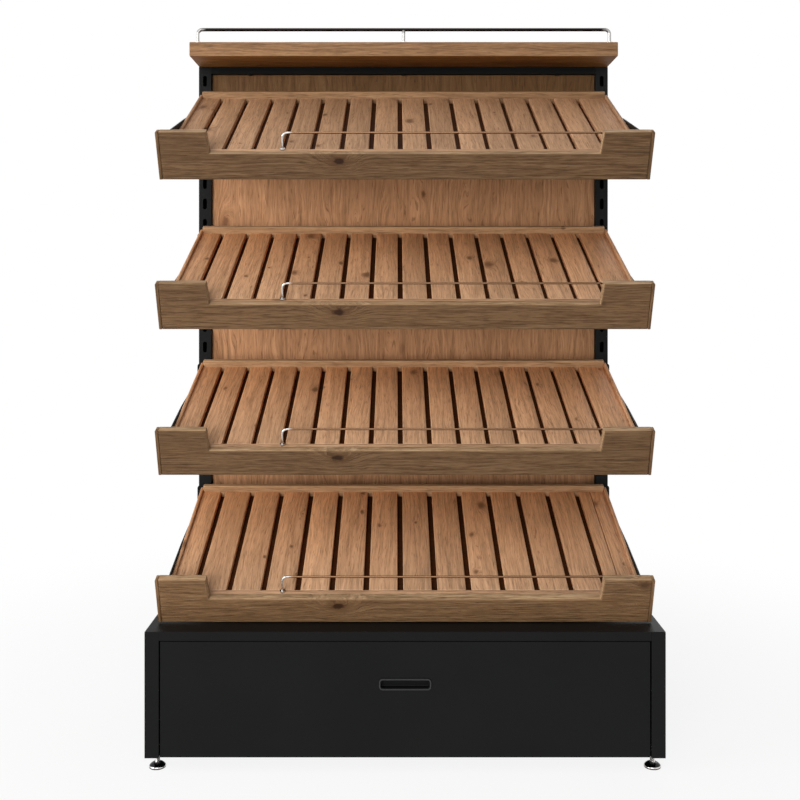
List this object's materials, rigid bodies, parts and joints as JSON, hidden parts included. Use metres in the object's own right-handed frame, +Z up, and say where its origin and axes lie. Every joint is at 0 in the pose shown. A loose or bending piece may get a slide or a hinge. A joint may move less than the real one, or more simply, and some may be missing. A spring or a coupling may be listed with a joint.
{
  "type": "slatted display rack",
  "caption": "Free-standing shop rack with tilted slatted oak trays on slotted uprights, an oak back and top, and a black steel drawer cabinet on levelling feet.",
  "frame": {"origin": "on the floor, at the middle of the rack's outline", "axes": "+Z up, -Y to the front, +X to the right seen from the front"},
  "size_m": [1.03, 0.55, 1.572],
  "materials": {
    "oak_front": "matte brown oak, level grain",
    "oak_slat": "satin oak, grain along the slat",
    "oak_panel": "satin oak facing, upright grain",
    "oak_top": "satin oak, level grain",
    "black_steel": "matte black powder coat",
    "zinc_steel": "bright zinc plate",
    "chrome": "polished chrome"
  },
  "bodies": {
    "rack": {"base_top": "black_steel", "base_side_left": "black_steel", "base_side_right": "black_steel", "base_back": "black_steel", "base_floor": "black_steel", "upright_left": "black_steel", "upright_right": "black_steel", "top_crossbar": "black_steel", "bottom_crossbar": "black_steel", "runner_spacers": "zinc_steel", "board_screws": "zinc_steel", "foot_nuts": "zinc_steel", "runner_outer_left": "zinc_steel", "runner_outer_right": "zinc_steel", "top_rail": "chrome", "rail_sockets": "chrome", "fence_ferrules": "chrome", "back_panel": "oak_panel", "top_board": "oak_top", "tray1_front_board": "oak_front", "tray1_side_rails": "oak_slat", "tray1_rear_rail": "oak_slat", "tray1_bearers": "oak_slat", "tray1_slats": "oak_slat", "tray1_fence": "chrome", "tray1_brackets": "black_steel", "tray2_front_board": "oak_front", "tray2_side_rails": "oak_slat", "tray2_rear_rail": "oak_slat", "tray2_bearers": "oak_slat", "tray2_slats": "oak_slat", "tray2_fence": "chrome", "tray2_brackets": "black_steel", "tray3_front_board": "oak_front", "tray3_side_rails": "oak_slat", "tray3_rear_rail": "oak_slat", "tray3_bearers": "oak_slat", "tray3_slats": "oak_slat", "tray3_fence": "chrome", "tray3_brackets": "black_steel", "tray4_front_board": "oak_front", "tray4_side_rails": "oak_slat", "tray4_rear_rail": "oak_slat", "tray4_bearers": "oak_slat", "tray4_slats": "oak_slat", "tray4_fence": "chrome", "tray4_brackets": "black_steel"},
    "drawer": {"drawer_front": "black_steel", "drawer_box": "black_steel", "flush_pull": "black_steel", "drawer_screws": "zinc_steel", "runner_inner_left": "zinc_steel", "runner_inner_right": "zinc_steel"},
    "runner_left": {"runner_middle_left": "zinc_steel"},
    "runner_right": {"runner_middle_right": "zinc_steel"},
    "foot_front_left": {"foot_front_left": "chrome"},
    "foot_front_right": {"foot_front_right": "chrome"},
    "foot_rear_left": {"foot_rear_left": "chrome"},
    "foot_rear_right": {"foot_rear_right": "chrome"}
  },
  "joints": [
    {"name": "drawer_slide", "type": "slide", "parent": "rack", "child": "drawer", "axis": [0, -1, 0], "range_m": [0, 0.38]},
    {"name": "runner_left_slide", "type": "slide", "parent": "rack", "child": "runner_left", "axis": [0, -1, 0], "range_m": [0, 0.19]},
    {"name": "runner_right_slide", "type": "slide", "parent": "rack", "child": "runner_right", "axis": [0, -1, 0], "range_m": [0, 0.19]},
    {"name": "foot_front_left_screw", "type": "slide", "parent": "rack", "child": "foot_front_left", "axis": [0, 0, -1], "range_m": [-0.008, 0.015]},
    {"name": "foot_front_right_screw", "type": "slide", "parent": "rack", "child": "foot_front_right", "axis": [0, 0, -1], "range_m": [-0.008, 0.015]},
    {"name": "foot_rear_left_screw", "type": "slide", "parent": "rack", "child": "foot_rear_left", "axis": [0, 0, -1], "range_m": [-0.008, 0.015]},
    {"name": "foot_rear_right_screw", "type": "slide", "parent": "rack", "child": "foot_rear_right", "axis": [0, 0, -1], "range_m": [-0.008, 0.015]}
  ],
  "couplings": [
    {"joint": "runner_left_slide", "follows": "drawer_slide", "ratio": 0.5},
    {"joint": "runner_right_slide", "follows": "drawer_slide", "ratio": 0.5}
  ]
}
